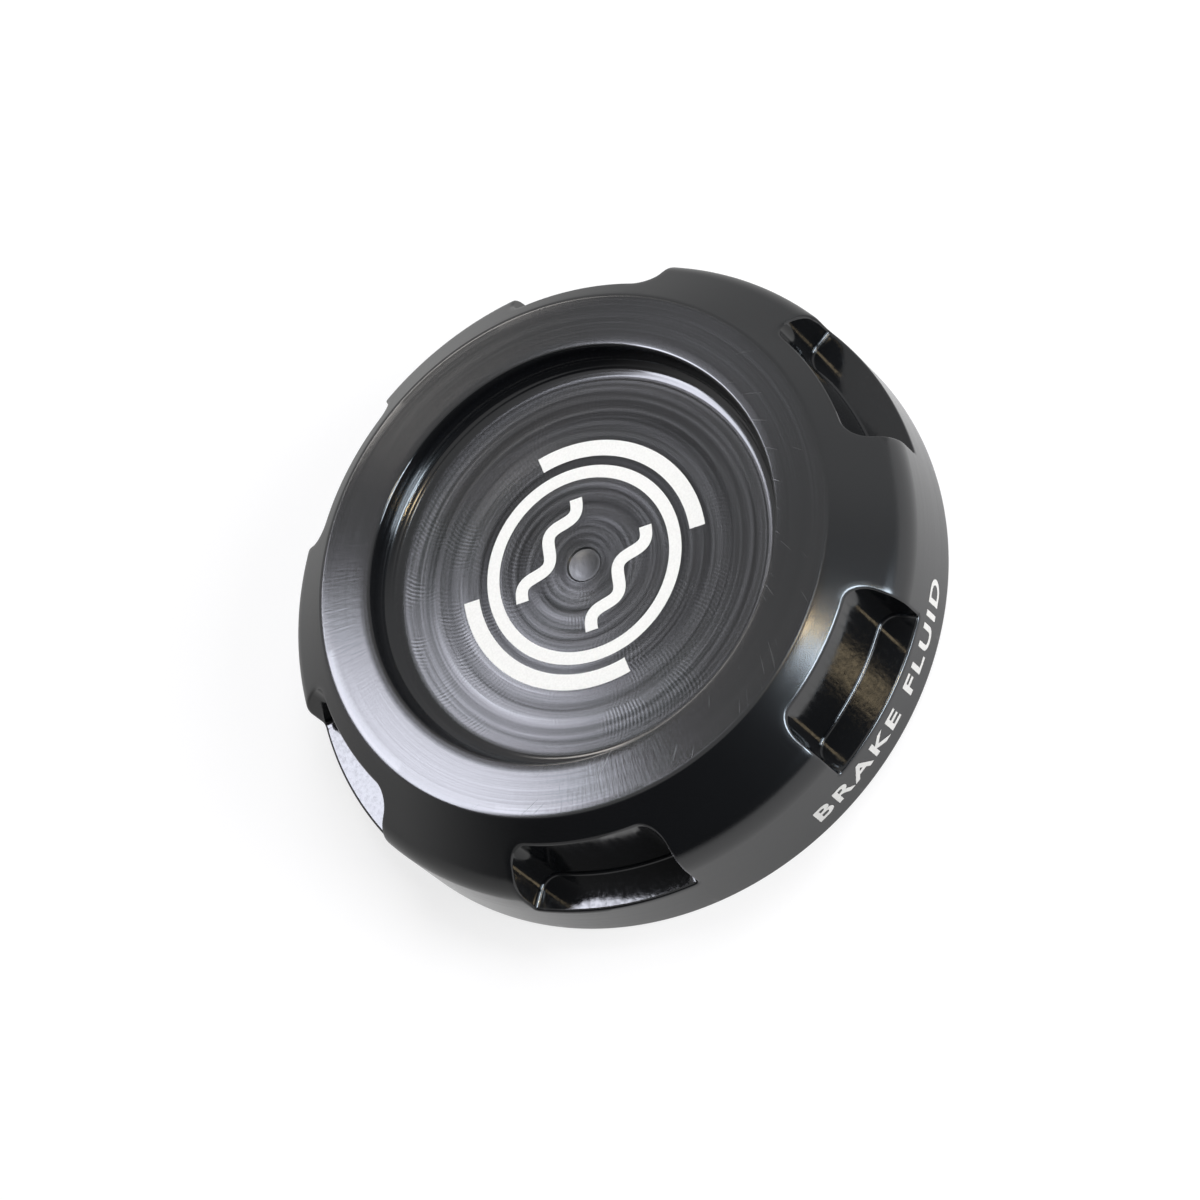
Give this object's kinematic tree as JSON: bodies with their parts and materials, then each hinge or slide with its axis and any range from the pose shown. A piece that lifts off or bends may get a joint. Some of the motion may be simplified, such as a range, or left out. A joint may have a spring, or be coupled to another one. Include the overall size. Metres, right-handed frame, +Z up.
{
  "type": "brake fluid reservoir cap",
  "caption": "Machined screw cap for a brake fluid reservoir: dished top, sloping shoulder with milled finger pockets, threaded mouth and a rubber diaphragm seal inside",
  "frame": {"origin": "middle of the rim's underside, on the cap's axis, where the cap rests on a table", "axes": "+Z up along the cap's axis, out through the dished top; -Y through the middle of the pocket above the lettered stretch of the band; +X to the right of it"},
  "size_m": [0.068, 0.068, 0.0166],
  "materials": {
    "anodised_aluminium": "satin",
    "seal_rubber": "matte",
    "white_marking": "matte"
  },
  "bodies": {
    "root": {"cap_body": "anodised_aluminium", "diaphragm_seal": "seal_rubber"}
  },
  "joints": []
}
